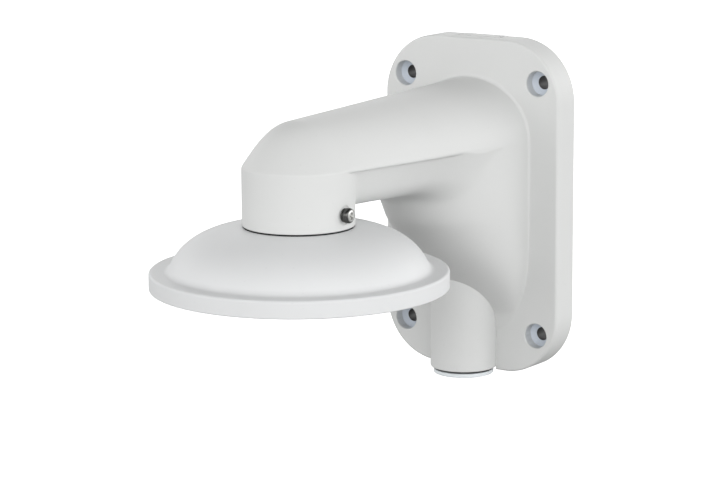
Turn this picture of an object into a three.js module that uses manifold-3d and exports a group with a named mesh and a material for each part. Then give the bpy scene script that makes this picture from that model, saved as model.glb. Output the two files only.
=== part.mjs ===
// Wall bracket with a pendant cap for a mini-dome camera, in millimetres.
// The wall is the plane y = 0, the arm reaches along -Y and +Z is up. The origin is on the wall plane,
// at the centre of the pattern of four wall holes.
import * as THREE from 'three';
import { mergeVertices } from 'three/addons/utils/BufferGeometryUtils.js';
import Module from 'manifold-3d';

const wasm = await Module();
wasm.setup();

// ---- driving dimensions --------------------------------------------------------------------------
const SEAT_GAP = 0.25; // between pieces that touch on the real bracket
const RUN_GAP = 0.3; // between pieces that turn or slide in each other
const OVERLAP = 1; // how far one shape runs into the next where both are one casting

const TOP_STEP = 15.6; // from the plate's top edge down to the arm's top

const plate = {
  halfWidth: 40.4, halfHeight: 66.4, corner: 24.2, thickness: 12.4, edge: 0.6, wall: 3.6, rim: 6.5,
};
const wallHole = {
  fromSide: 9.5, fromEnd: 16.2, bore: 2.6, counterbore: 4.95, counterboreDepth: 4.4, seatDrop: 1.2,
  bossWall: 2.4,
};
const gasket = { inset: 1.5, width: 2.2, depth: 1.5 };
const topEntry = {
  halfWidth: 10.4, front: 5, reach: 11.5, wall: 3, slotWidth: 1.2, slotDepth: 3.8, slotBehind: 2.4, proud: 0.2,
};
const arm = {
  reach: 126.75, halfWidthAtPlate: 27.3, riseAtPlate: 23.6, rise: 17, topDrop: 2.8,
  depthAtPlate: 16.1, depth: 16, lip: 1.2, sideLean: 0.45, floorRound: 7, wall: 3.5,
  lipEnd: 40, lipFade: 30, // the lip fades out this far from the wall, over this length
};
const throat = {
  foot: 15.4, frontFoot: 20.9, footCurve: 39, footPower: 2.6, frontSlope: 0.99, toeSlope: 0.35,
  capGap: 14.55, shoulderSlope: 0.69, blend: 6, blendFrom: 12, blendOver: 30, lead: 0.7,
};
const collar = { radius: 20.7, bottom: 9.6, edge: 0.4, wall: 3.7 };
const elbow = { // the straight slanted stretch above the collar, and how it fades out along the arm
  slantIn: 6.5, slantUp: 9.9, crown: 0.435, fade: 0.8, bury: 0.15,
};
const conduit = {
  threadRadius: 10.48, pipeWall: 2.82, behind: 3.6, bottom: 1.3, edge: 0.4, threadDepth: 13, boreStep: 1.48,
  boreUp: 8,
};
const plug = {
  flangeOverThread: 1.52, flange: 1.65, threadLength: 10, chamfer: 1, hexAcross: 10, hexDepth: 6, edge: 0.4,
};
const plugSeal = { thickness: 0.5, clear: 0.22, width: 1 };
const cap = {
  radius: 55, rimHeight: 6.6, rimTop: -6.9, wall: 3, neckWall: 4.1, rimWidth: 4.6, edge: 1, ceilingRise: 1.2,
  rimLedge: 7.8, domeFootRise: 1.9, filletWidth: 2.6, filletDip: 0.4, bossRise: 4,
  bulge: { out: 0.54, below: 0.5 }, drop: { out: 0.872, above: 9.7 }, // handles of the dome's curve
};
const neck = { threadStep: 0.4, landHeight: 9, belowCrease: 2.5, chamfer: 1 };
const neckSeal = { thickness: 0.9, wall: 2.6 };
const cameraBoss = { count: 3, fromRim: 12.5, radius: 4, hole: 1.7, holeDepth: 9, setBack: 1 };
const cameraGasket = { fromRim: 2.1, width: 1.8, depth: 1.2 };
const lockScrew = {
  above: 5.6, threadRadius: 1.45, headRadius: 2.8, head: 2.3, recess: 1.3, recessWidth: 0.9, recessReach: 0.6,
  spotMargin: 0.8, spotDepth: 0.4,
  crown: [[1, 0.45], [0.9, 0.72], [0.6, 0.93]], // the head's rounding, as shares of its radius and height
};
const washer = { underHead: 0.2, thickness: 0.8 };

const ARM_GRID = [48, 26]; // points round the arm and rows along it
const HOLLOW_GRID = [24, 16];
const SIDES = { wide: 48, pipe: 36, hollow: 32, hole: 24, boss: 20, small: 16 }; // of turned shapes

// ---- sizes that follow from them -----------------------------------------------------------------
const plateFront = -plate.thickness;
const holeX = plate.halfWidth - wallHole.fromSide;
const holeZ = plate.halfHeight - wallHole.fromEnd;
const entryFloor = plate.halfHeight - topEntry.reach;
const entryFront = plateFront + topEntry.front;
const axisY = -arm.reach;
const topAtPlate = plate.halfHeight - TOP_STEP;
const creaseAtPlate = topAtPlate - arm.riseAtPlate;
const topAtCollar = topAtPlate - arm.topDrop;
const creaseAtCollar = topAtCollar - arm.rise;
const throatFoot = throat.foot - plate.halfHeight;
const throatFrontFoot = throat.frontFoot - plate.halfHeight;
const throatShoulder = arm.reach - plate.thickness - cap.radius - throat.capGap;
const capBottom = cap.rimTop - cap.rimHeight;
const capTop = collar.bottom - 2 * SEAT_GAP;
const domeFoot = cap.radius - cap.rimLedge;
const landRadius = collar.radius - collar.wall;
const neckRadius = landRadius - neck.threadStep;
const neckTop = creaseAtCollar - neck.belowCrease;
const sealSeat = collar.bottom - neckSeal.thickness - 2 * SEAT_GAP;
const gasketMiddle = cap.radius - cameraGasket.fromRim;
const pipeRadius = conduit.threadRadius + conduit.pipeWall;
const pipeBore = conduit.threadRadius - conduit.boreStep;
const pipeY = -(pipeRadius + conduit.behind);
const pipeBottom = conduit.bottom - plate.halfHeight;
const flangeTop = pipeBottom - plugSeal.thickness - 2 * SEAT_GAP;
const screwHeight = collar.bottom + lockScrew.above;
const spotFaceX = collar.radius - lockScrew.spotDepth;
const screwHeadX = spotFaceX + washer.thickness + 2 * SEAT_GAP;

// ---- materials -----------------------------------------------------------------------------------
const finish = (color, roughness, metalness) => new THREE.MeshStandardMaterial({ color, roughness, metalness });
const castWhite = () => finish(0xe4e4e1, 0.5, 0);
const capWhite = () => finish(0xe8eaea, 0.48, 0);
const blackRubber = () => finish(0x1b1b1c, 0.8, 0);
const plugWhite = () => finish(0xdde1e2, 0.4, 0);
const stainless = () => finish(0xb9bab8, 0.2, 1);

// ---- building tools ------------------------------------------------------------------------------
function solid(geometry) {
  const bare = geometry.index ? geometry.toNonIndexed() : geometry.clone();
  for (const name of Object.keys(bare.attributes)) if (name !== 'position') bare.deleteAttribute(name);
  const merged = mergeVertices(bare, 1e-4);
  const corners = merged.index.array;
  const kept = [];
  for (let i = 0; i < corners.length; i += 3) {
    const [a, b, c] = corners.slice(i, i + 3);
    if (a !== b && b !== c && c !== a) kept.push(a, b, c);
  }
  return new wasm.Manifold(new wasm.Mesh({
    numProp: 3,
    vertProperties: new Float32Array(merged.attributes.position.array),
    triVerts: new Uint32Array(kept),
  }));
}

function mesh(name, shape, material) {
  const { vertProperties, triVerts } = shape.getMesh();
  const geometry = new THREE.BufferGeometry();
  geometry.setAttribute('position', new THREE.BufferAttribute(vertProperties, 3));
  geometry.setIndex(new THREE.BufferAttribute(triVerts, 1));
  geometry.computeVertexNormals();
  const piece = new THREE.Mesh(geometry, material);
  piece.name = name;
  return piece;
}

// A shape turned about the vertical line at (0, y). Its profile runs upwards along the outside.
function turned(profile, y, segments = SIDES.wide) {
  const points = profile.map(([r, z]) => new THREE.Vector2(r, z));
  return solid(new THREE.LatheGeometry(points, segments).rotateX(Math.PI / 2).translate(0, y, 0));
}

// A shape turned about the line along X at height z above the collar's axis, or along Y at (x, z).
function turnedAlongX(profile, z, segments = SIDES.hole) {
  const points = profile.map(([r, x]) => new THREE.Vector2(r, x));
  return solid(new THREE.LatheGeometry(points, segments).rotateZ(-Math.PI / 2).translate(0, axisY, z));
}

function turnedAlongY(profile, x, z, segments = SIDES.hole) {
  const points = profile.map(([r, y]) => new THREE.Vector2(r, y));
  return solid(new THREE.LatheGeometry(points, segments).translate(x, 0, z));
}

function rod(radius, bottom, top) {
  return [[0, bottom], [radius, bottom], [radius, top], [0, top]];
}

function ring(inner, outer, bottom, top) {
  return [[inner, bottom], [outer, bottom], [outer, top], [inner, top], [inner, bottom]];
}

function box(x0, x1, y0, y1, z0, z1) {
  const geometry = new THREE.BoxGeometry(x1 - x0, y1 - y0, z1 - z0);
  return solid(geometry.translate((x0 + x1) / 2, (y0 + y1) / 2, (z0 + z1) / 2));
}

// A rounded rectangle in the wall's plane, its outline moved in by inset.
function plateOutline(inset) {
  const [w, h, r] = [plate.halfWidth - inset, plate.halfHeight - inset, plate.corner - inset];
  const outline = new THREE.Shape();
  outline.moveTo(w, -h + r);
  outline.absarc(w - r, h - r, r, 0, Math.PI / 2);
  outline.absarc(-w + r, h - r, r, Math.PI / 2, Math.PI);
  outline.absarc(-w + r, -h + r, r, Math.PI, 1.5 * Math.PI);
  outline.absarc(w - r, -h + r, r, 1.5 * Math.PI, 2 * Math.PI);
  return outline;
}

// The outline extruded from y = from to y = to, towards -Y, with an optional rounded front edge.
function plateSlab(outline, from, to, edge = 0) {
  const geometry = new THREE.ExtrudeGeometry(outline, {
    depth: from - to - edge, curveSegments: 8, bevelEnabled: edge > 0,
    bevelThickness: edge, bevelSize: edge, bevelOffset: -edge, bevelSegments: 2,
  });
  return solid(geometry.rotateX(Math.PI / 2).translate(0, from, 0));
}

function joined(shapes) {
  return shapes.reduce((whole, shape) => whole.add(shape));
}

function cubic(p0, p1, p2, p3, t) {
  const s = 1 - t;
  return [0, 1].map((i) => s ** 3 * p0[i] + 3 * s * s * t * p1[i] + 3 * s * t * t * p2[i] + t ** 3 * p3[i]);
}

const mix = (a, b, t) => a + (b - a) * t;
const clamp = (v) => Math.min(1, Math.max(0, v));
const smooth = (v) => clamp(v) ** 2 * (3 - 2 * clamp(v));

// ---- the arm and its throat ----------------------------------------------------------------------
// How far along the arm y is: 0 over the collar's axis, 1 on the plate's front face.
const along = (y) => clamp((y - axisY) / (plateFront - axisY));
const armHalfWidth = (y) => mix(collar.radius, arm.halfWidthAtPlate, along(y));
const armCrease = (y) => mix(creaseAtCollar, creaseAtPlate, along(y));
const armTop = (y) => mix(topAtCollar, topAtPlate, along(y));
const armBottom = (y) => armCrease(y) - mix(arm.depth, arm.depthAtPlate, along(y));

// The upper half of a section, from the crease (t = 0) to the top (t = 1), as (x, height above crease).
function upperPoint(y, t) {
  const [w, h, s] = [armHalfWidth(y), armTop(y) - armCrease(y), along(y) ** elbow.fade];
  const round = 0.5523; // a cubic's handle for a quarter of an ellipse
  const slant = [mix(w - elbow.slantIn, w, s), mix(elbow.slantUp, round * h, s)];
  const crown = [mix(elbow.crown, round, s) * w, h];
  return cubic([w, 0], slant, crown, [0, h], t);
}

// The lower of two distances, with the corner between them rounded over the blend's width.
function softMin(a, b, blend) {
  if (blend <= 0) return Math.min(a, b);
  const near = Math.max(0, blend - Math.abs(a - b)) / blend;
  return Math.min(a, b) - near * near * blend / 4;
}

// Below zero inside the lower half of the arm: flat sides that lean in under a lip, and a floor.
function underArm(x, y, z) {
  const lip = arm.lip * smooth((-y - arm.lipEnd) / arm.lipFade);
  const sideX = armHalfWidth(y) - lip - arm.sideLean * (armCrease(y) - z);
  const side = (Math.abs(x) - sideX) / Math.hypot(1, arm.sideLean);
  const floor = armBottom(y) - z;
  return -softMin(-side, -floor, arm.floorRound);
}

// Below zero inside the throat, whose level sections are half ellipses standing on the plate.
function inThroat(x, y, z) {
  const footFraction = clamp((throatFoot + throat.footCurve - z) / throat.footCurve);
  const halfWidth = arm.halfWidthAtPlate * (1 - footFraction ** throat.footPower) ** (1 / throat.footPower);
  const toe = throat.toeSlope * (z - throatFoot);
  const slope = Math.max(throat.frontSlope * (z - throatFrontFoot), toe);
  const front = Math.min(slope, throatShoulder + throat.shoulderSlope * z);
  if (halfWidth < 0.01 || front < 0.01) return arm.halfWidthAtPlate;
  return (Math.hypot(x / halfWidth, Math.max(0, plateFront - y) / front) - 1) * halfWidth;
}

function underside(x, y, z) {
  const grown = smooth((plateFront - y - throat.blendFrom) / throat.blendOver);
  return softMin(underArm(x, y, z), inThroat(x, y, z), throat.blend * grown);
}

// A point of the section at y, at angle u round it: 0 on the +X crease, a quarter turn on the top.
function sectionPoint(y, u) {
  const side = Math.cos(u) < 0 ? -1 : 1;
  const direction = [Math.cos(u), Math.sin(u)];
  if (direction[1] > -1e-6) {
    const aboveCrease = Math.atan2(direction[1], Math.abs(direction[0]));
    const [x, rise] = upperPoint(y, clamp(aboveCrease / (Math.PI / 2)));
    return [side * x, armCrease(y) + rise];
  }
  let [inside, outside] = [0, 2 * plate.halfHeight];
  for (let step = 0; step < 30; step++) {
    const middle = (inside + outside) / 2;
    const isInside = underside(direction[0] * middle, y, armCrease(y) + direction[1] * middle) < 0;
    if (isInside) inside = middle; else outside = middle;
  }
  const x = Math.min(Math.abs(direction[0]) * inside, armHalfWidth(y));
  return [side * x, armCrease(y) + direction[1] * inside];
}

// An angle on a plain cylinder, turned into the section's angle so that the tall lower half gets more points.
function spread(angle) {
  const share = 2 / 3; // of each side's points, those below the crease
  const height = Math.asin(Math.sin(angle));
  const split = (share - 0.5) * Math.PI;
  const turn = height > split
    ? (height - split) / (2 * (1 - share))
    : (height - split) / (2 * share);
  return Math.cos(angle) < 0 ? Math.PI - turn : turn;
}

// The arm lofted through its sections from yFront to yBack. With a wall, the hollow inside it.
function armLoft(yFront, yBack, around, lengths, wall = 0) {
  const lead = wall * throat.lead; // the slanted throat keeps its wall
  const crowding = 0.8; // the rows lie closer together near the plate
  const geometry = new THREE.CylinderGeometry(1, 1, 1, around, lengths);
  const position = geometry.attributes.position;
  for (let i = 0; i < position.count; i++) {
    const [px, pv, pz] = [position.getX(i), position.getY(i) + 0.5, position.getZ(i)];
    const fromCentre = Math.hypot(px, pz);
    const y = mix(yFront, yBack, 1 - (1 - pv) ** crowding);
    const [x, z] = fromCentre > 0.5 ? sectionPoint(y - lead, spread(Math.atan2(pz, px))) : [0, armCrease(y)];
    const out = Math.hypot(x, z - armCrease(y));
    const buried = pv > 0.999 ? elbow.bury : 0; // the end ring lies just inside the elbow
    const keep = out > 0 ? Math.max(0, out - wall - buried) / out : 0;
    position.setXYZ(i, x * keep, y, armCrease(y) + (z - armCrease(y)) * keep);
  }
  return solid(geometry);
}

// The collar and the elbow over it, turned about the collar's axis. With a wall, the hollow inside.
function elbowProfile(wall) {
  const profile = [];
  const steps = 8;
  for (let i = 0; i <= steps; i++) {
    const [r, rise] = upperPoint(axisY, i / steps);
    const [height, out] = [topAtCollar - creaseAtCollar, Math.hypot(r, rise)];
    profile.push([r * (1 - wall / out), creaseAtCollar + rise * (1 - wall / out * (rise / height))]);
  }
  profile[steps][0] = 0;
  return profile;
}

// ---- bracket casting -----------------------------------------------------------------------------
function bracketBody() {
  const corners = [[holeX, holeZ], [-holeX, holeZ], [holeX, -holeZ], [-holeX, -holeZ]];
  const pocketDepth = plate.thickness - plate.wall;
  const beyond = 2 * plate.halfHeight;
  // The plate's lower edge is cut back to the pipe's end, where the plug's flange goes.
  const flangeSeat = turned(rod(pipeRadius, -beyond, pipeBottom), pipeY, SIDES.pipe);

  const outside = joined([
    plateSlab(plateOutline(0), OVERLAP, plateFront, plate.edge).subtract(
      box(-beyond, beyond, 0, 2 * OVERLAP, -beyond, beyond)).subtract(flangeSeat),
    armLoft(axisY, plateFront + OVERLAP, ...ARM_GRID),
    turned([[0, collar.bottom], [collar.radius - collar.edge, collar.bottom],
      [collar.radius, collar.bottom + collar.edge], ...elbowProfile(0)], axisY),
    turned([[0, pipeBottom], [pipeRadius - conduit.edge, pipeBottom],
      [pipeRadius, pipeBottom + conduit.edge], [pipeRadius, 0], [0, 0]], pipeY, SIDES.pipe),
  ]);

  // The hollow runs from the open back through the throat and the arm to the collar.
  const bosses = corners.map(([x, z]) => turnedAlongY(
    rod(wallHole.counterbore + wallHole.bossWall, plateFront, OVERLAP), x, z, SIDES.boss));
  const pipeWall = turned(rod(pipeRadius, pipeBottom, throatFoot + OVERLAP), pipeY, SIDES.pipe);
  const topBossEnd = topEntry.halfWidth + topEntry.wall;
  const topBoss = box(-topBossEnd, topBossEnd, plateFront, OVERLAP,
    entryFloor + topEntry.wall - OVERLAP, plate.halfHeight);
  const hollow = joined([
    plateSlab(plateOutline(plate.rim), OVERLAP, -pocketDepth),
    armLoft(axisY, -pocketDepth / 2, ...HOLLOW_GRID, arm.wall),
    turned([[0, creaseAtCollar - OVERLAP], [collar.radius - arm.wall, creaseAtCollar - OVERLAP],
      ...elbowProfile(arm.wall)], axisY, SIDES.hollow),
  ]).subtract(joined([...bosses, pipeWall, topBoss]));

  const landTop = collar.bottom + neck.landHeight + RUN_GAP;
  const collarBore = turned([[0, collar.bottom - OVERLAP], [landRadius + RUN_GAP, collar.bottom - OVERLAP],
    [landRadius + RUN_GAP, landTop], [neckRadius + RUN_GAP, landTop],
    [neckRadius + RUN_GAP, creaseAtCollar], [0, creaseAtCollar]], axisY);
  const conduitBore = joined([
    turned(rod(conduit.threadRadius, pipeBottom - OVERLAP, pipeBottom + conduit.threadDepth),
      pipeY, SIDES.pipe),
    turned(rod(pipeBore, pipeBottom, throatFoot + conduit.boreUp), pipeY, SIDES.pipe),
  ]);

  const wallHoles = corners.map(([x, z]) => turnedAlongY([
    [0, plateFront - OVERLAP], [wallHole.counterbore, plateFront - OVERLAP],
    [wallHole.counterbore, plateFront + wallHole.counterboreDepth],
    [wallHole.bore, plateFront + wallHole.counterboreDepth + wallHole.seatDrop],
    [wallHole.bore, OVERLAP], [0, OVERLAP]], x, z));
  const entryNotch = box(-topEntry.halfWidth, topEntry.halfWidth, entryFront, OVERLAP,
    entryFloor, plate.halfHeight + OVERLAP);

  const { threadRadius, headRadius, spotMargin } = lockScrew;
  const outsideCollar = collar.radius + 2 * OVERLAP;
  const screwHole = turnedAlongX(
    rod(threadRadius + RUN_GAP, neckRadius, outsideCollar), screwHeight, SIDES.small);
  const screwSpot = turnedAlongX(rod(headRadius + spotMargin, spotFaceX, outsideCollar), screwHeight);

  return outside.subtract(joined([
    hollow, collarBore, conduitBore, ...wallHoles, gasketGroove(), entryNotch, screwHole, screwSpot,
  ]));
}

// The groove round the rear rim. It crosses the back of the cable entry's blank too.
function gasketGroove() {
  return plateSlab(plateOutline(gasket.inset), OVERLAP, -gasket.depth)
    .subtract(plateSlab(plateOutline(gasket.inset + gasket.width), 2 * OVERLAP, -gasket.depth - OVERLAP));
}

function wallGasket() {
  const { inset, width, depth } = gasket;
  return plateSlab(plateOutline(inset + SEAT_GAP), 0, -depth + SEAT_GAP)
    .subtract(plateSlab(plateOutline(inset + width - SEAT_GAP), OVERLAP, -depth));
}

// The push-in blank that closes the cable entry in the plate's top edge, with a pry slot at each end.
function topEntryBlank() {
  const { halfWidth, slotWidth, slotDepth, slotBehind, proud } = topEntry;
  const end = halfWidth - RUN_GAP;
  const front = entryFront + RUN_GAP;
  const slots = [-1, 1].map((side) => box(
    Math.min(side * (end + OVERLAP), side * (end - slotWidth)),
    Math.max(side * (end + OVERLAP), side * (end - slotWidth)),
    front + slotBehind - slotDepth / 2, front + slotBehind + slotDepth / 2,
    plate.halfHeight - slotDepth, plate.halfHeight + OVERLAP));
  return box(-end, end, front, 0, entryFloor + RUN_GAP, plate.halfHeight + proud)
    .subtract(joined([...slots, gasketGroove()]));
}

// ---- conduit plug --------------------------------------------------------------------------------
function conduitPlugSeal() {
  const inner = conduit.threadRadius + plugSeal.clear;
  const top = pipeBottom - SEAT_GAP;
  return turned(ring(inner, inner + plugSeal.width, top - plugSeal.thickness, top), pipeY, SIDES.pipe);
}

function conduitPlug() {
  const { flangeOverThread, flange, threadLength, chamfer, hexAcross, hexDepth, edge } = plug;
  const bottom = flangeTop - flange;
  const flangeRadius = conduit.threadRadius + flangeOverThread;
  const stem = conduit.threadRadius - RUN_GAP;
  const body = turned([[0, bottom], [flangeRadius - edge, bottom], [flangeRadius, bottom + edge],
    [flangeRadius, flangeTop], [stem, flangeTop], [stem, flangeTop + threadLength - chamfer],
    [stem - chamfer, flangeTop + threadLength], [0, flangeTop + threadLength]], pipeY, SIDES.pipe);
  const socket = turned(rod(hexAcross / Math.sqrt(3), bottom - OVERLAP, bottom + hexDepth), pipeY, 6);
  return body.subtract(socket);
}

// ---- pendant cap ---------------------------------------------------------------------------------
// The dome's outside from beside the collar down to the flange, as (radius, height) points.
function domeLine(wall, steps) {
  const foot = cap.rimTop + cap.domeFootRise;
  const inward = { bulge: 0.8, drop: 0.6, foot: 0.2 }; // shares of the wall that keep it even
  const start = [collar.radius - wall, capTop - wall];
  const bulgeRadius = mix(collar.radius, domeFoot, cap.bulge.out);
  const dropRadius = mix(collar.radius, domeFoot, cap.drop.out);
  const bulge = [bulgeRadius - inward.bulge * wall, capTop - cap.bulge.below - wall];
  const drop = [dropRadius - wall, cap.rimTop + cap.drop.above - inward.drop * wall];
  const end = [domeFoot - wall, foot - inward.foot * wall];
  return Array.from({ length: steps + 1 }, (_, i) => cubic(start, bulge, drop, end, i / steps));
}

// The hollow fillet from the dome's foot to the rim's flat top.
function domeFillet(steps) {
  const { domeFootRise, filletWidth, filletDip, rimTop } = cap;
  const foot = rimTop + domeFootRise;
  const points = [[domeFoot, foot], [domeFoot + filletWidth / 4, rimTop + domeFootRise * filletDip],
    [domeFoot + filletWidth / 2, rimTop], [domeFoot + filletWidth, rimTop]];
  return Array.from({ length: steps }, (_, i) => cubic(...points, (i + 1) / steps));
}

function pendantCap() {
  const { radius, rimTop, edge, rimWidth } = cap;
  const shoulder = 0.3 * edge; // the rim's edge is rounded in two facets
  const landTop = collar.bottom + neck.landHeight;
  const outer = [[0, capBottom], [radius - edge / 2, capBottom], [radius, capBottom + edge / 2],
    [radius, rimTop - edge], [radius - shoulder, rimTop - shoulder], [radius - edge, rimTop],
    ...domeFillet(3).reverse(), ...domeLine(0, 8).reverse(),
    [collar.radius - SEAT_GAP, capTop], [collar.radius - SEAT_GAP, sealSeat], [landRadius, sealSeat],
    [landRadius, landTop], [neckRadius, landTop],
    [neckRadius, neckTop - neck.chamfer], [neckRadius - neck.chamfer, neckTop], [0, neckTop]];
  const inside = radius - rimWidth;
  const ceiling = rimTop - cap.wall + cap.ceilingRise;
  const hollow = turned([[0, capBottom - OVERLAP], [inside, capBottom - OVERLAP], [inside, ceiling],
    ...domeLine(cap.wall, 5).reverse(), [0, capTop - cap.wall]], axisY);
  const bossCircle = radius - cameraBoss.fromRim;
  const bosses = [];
  const holes = [];
  for (let i = 0; i < cameraBoss.count; i++) {
    const angle = -Math.PI / 2 + i * 2 * Math.PI / cameraBoss.count;
    const [x, y] = [bossCircle * Math.cos(angle), bossCircle * Math.sin(angle)];
    const bottom = capBottom + cameraBoss.setBack;
    const at = (profile) => turned(profile, 0, SIDES.small).translate([x, axisY + y, 0]);
    bosses.push(at(rod(cameraBoss.radius, bottom, rimTop + cap.bossRise)));
    holes.push(at(rod(cameraBoss.hole, bottom - OVERLAP, bottom + cameraBoss.holeDepth)));
  }
  const { width, depth } = cameraGasket;
  const groove = turned(ring(gasketMiddle - width / 2, gasketMiddle + width / 2,
    capBottom - OVERLAP, capBottom + depth), axisY);
  const whole = turned(outer, axisY);
  const bore = turned(rod(neckRadius - cap.neckWall, capBottom, neckTop + OVERLAP), axisY, SIDES.pipe);
  return whole.subtract(hollow.subtract(joined(bosses))).subtract(joined([bore, groove, ...holes]));
}

function neckSealRing() {
  const inner = landRadius + RUN_GAP;
  return turned(ring(inner, inner + neckSeal.wall, sealSeat + SEAT_GAP, collar.bottom - SEAT_GAP), axisY);
}

function cameraGasketRing() {
  const half = cameraGasket.width / 2 - SEAT_GAP;
  return turned(ring(gasketMiddle - half, gasketMiddle + half,
    capBottom, capBottom + cameraGasket.depth - SEAT_GAP), axisY);
}

// ---- lock screw ----------------------------------------------------------------------------------
function lockWasher() {
  const from = spotFaceX + SEAT_GAP;
  const [inner, outer] = [lockScrew.threadRadius + RUN_GAP, lockScrew.headRadius - washer.underHead];
  return turnedAlongX(ring(inner, outer, from, from + washer.thickness), screwHeight);
}

function lockScrewPiece() {
  const { threadRadius, headRadius, head, recess, recessWidth, recessReach, crown } = lockScrew;
  const tip = landRadius + RUN_GAP;
  const end = screwHeadX + head;
  const body = turnedAlongX([[0, tip], [threadRadius, tip], [threadRadius, screwHeadX], [headRadius, screwHeadX],
    ...crown.map(([out, up]) => [out * headRadius, screwHeadX + up * head]), [0, end]], screwHeight);
  const reach = recessReach * headRadius;
  const arms = [[recessWidth / 2, reach], [reach, recessWidth / 2]].map(([dy, dz]) => box(
    end - recess, end + OVERLAP, axisY - dy, axisY + dy, screwHeight - dz, screwHeight + dz));
  return body.subtract(joined(arms));
}

// ---- assembly ------------------------------------------------------------------------------------
const bracket = new THREE.Group();
bracket.add(
  mesh('bracket_body', bracketBody(), castWhite()),
  mesh('wall_gasket', wallGasket(), blackRubber()),
  mesh('top_entry_blank', topEntryBlank(), castWhite()),
  mesh('conduit_plug_seal', conduitPlugSeal(), blackRubber()),
  mesh('conduit_plug', conduitPlug(), plugWhite()),
  mesh('neck_seal', neckSealRing(), blackRubber()),
  mesh('pendant_cap', pendantCap(), capWhite()),
  mesh('camera_gasket', cameraGasketRing(), blackRubber()),
  mesh('lock_washer', lockWasher(), stainless()),
  mesh('lock_screw', lockScrewPiece(), stainless()),
);

export default bracket;
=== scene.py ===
"""Wall bracket with a pendant cap for a mini-dome camera: its finished surfaces, round the CAD frame.

The wall is the plane y = 0, the arm reaches along -Y and +Z is up. All sizes are in metres.
"""

import math
from contextlib import contextmanager

import bmesh
import bpy
from bpy.props import FloatProperty, FloatVectorProperty, PointerProperty
from mathutils import Matrix, Vector


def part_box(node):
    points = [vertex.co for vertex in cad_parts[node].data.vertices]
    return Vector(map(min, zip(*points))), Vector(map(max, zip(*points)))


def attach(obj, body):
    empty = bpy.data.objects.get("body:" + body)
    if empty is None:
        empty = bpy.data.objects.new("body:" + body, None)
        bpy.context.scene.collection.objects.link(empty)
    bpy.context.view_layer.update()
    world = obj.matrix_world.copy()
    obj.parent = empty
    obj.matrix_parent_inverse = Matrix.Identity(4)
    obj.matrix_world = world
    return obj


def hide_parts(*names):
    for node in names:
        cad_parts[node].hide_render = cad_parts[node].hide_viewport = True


bl_info = {
    "name": "Dome camera bracket",
    "version": (1, 0, 0),
    "blender": (4, 5, 0),
    "location": "View3D > Sidebar > Bracket",
    "description": "Builds the finished surfaces of a wall bracket with a pendant cap",
    "category": "Object",
}

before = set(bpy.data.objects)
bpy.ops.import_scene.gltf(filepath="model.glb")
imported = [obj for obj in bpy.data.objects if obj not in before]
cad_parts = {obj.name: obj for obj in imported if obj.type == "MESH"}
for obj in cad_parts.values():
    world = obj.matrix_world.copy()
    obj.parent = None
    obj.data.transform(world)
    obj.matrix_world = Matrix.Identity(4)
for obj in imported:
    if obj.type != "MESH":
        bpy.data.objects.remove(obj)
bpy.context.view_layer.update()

MM = 0.001
TIGHT = 1e-7  # vertices closer than this are one vertex
SEAT_GAP = 0.25 * MM  # between pieces that touch
RUN_GAP = 0.3 * MM  # between pieces that turn or slide in each other
OVERLAP = 1 * MM  # how far a cutter passes the face that it opens
ROUND = 0.5523  # a cubic's handle for a quarter of an ellipse

X_AXIS, Y_AXIS, Z_AXIS = Vector((1, 0, 0)), Vector((0, 1, 0)), Vector((0, 0, 1))

# ---- places that the frame gives -----------------------------------------------------------------
body_low, body_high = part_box("bracket_body")
cap_low, cap_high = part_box("pendant_cap")
plug_low, plug_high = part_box("conduit_plug")
neck_seal_low, neck_seal_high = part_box("neck_seal")
plug_seal_low, plug_seal_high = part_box("conduit_plug_seal")
camera_gasket_low, camera_gasket_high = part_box("camera_gasket")
blank_low, blank_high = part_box("top_entry_blank")
washer_low, washer_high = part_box("lock_washer")
screw_low, screw_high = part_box("lock_screw")

PLATE_HALF_WIDTH = body_high.x
PLATE_HALF_HEIGHT = body_high.z
CAP_RADIUS = cap_high.x
AXIS_Y = (cap_low.y + cap_high.y) / 2
COLLAR_RADIUS = AXIS_Y - body_low.y
COLLAR_BOTTOM = neck_seal_high.z + SEAT_GAP
PIPE_Y = (plug_low.y + plug_high.y) / 2
PIPE_BOTTOM = plug_seal_high.z + SEAT_GAP
SCREW_HEIGHT = (screw_low.z + screw_high.z) / 2
CAP_AXIS = Vector((0, AXIS_Y, 0))
PIPE_AXIS = Vector((0, PIPE_Y, 0))
SCREW_AXIS = Vector((0, AXIS_Y, SCREW_HEIGHT))


# ---- what a user may change ----------------------------------------------------------------------
def length(name, description, millimetres):
    return FloatProperty(name=name, description=description, default=millimetres * MM, min=0,
                         precision=5, unit="LENGTH", subtype="DISTANCE")


def colour(name, description, red, green, blue):
    return FloatVectorProperty(name=name, description=description, default=(red, green, blue),
                               min=0, max=1, size=3, subtype="COLOR")


def number(name, description, default, **limits):
    return FloatProperty(name=name, description=description, default=default, **limits)


def tilt(name, description, degrees):
    return number(name, description, math.radians(degrees), subtype="ANGLE")


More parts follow.
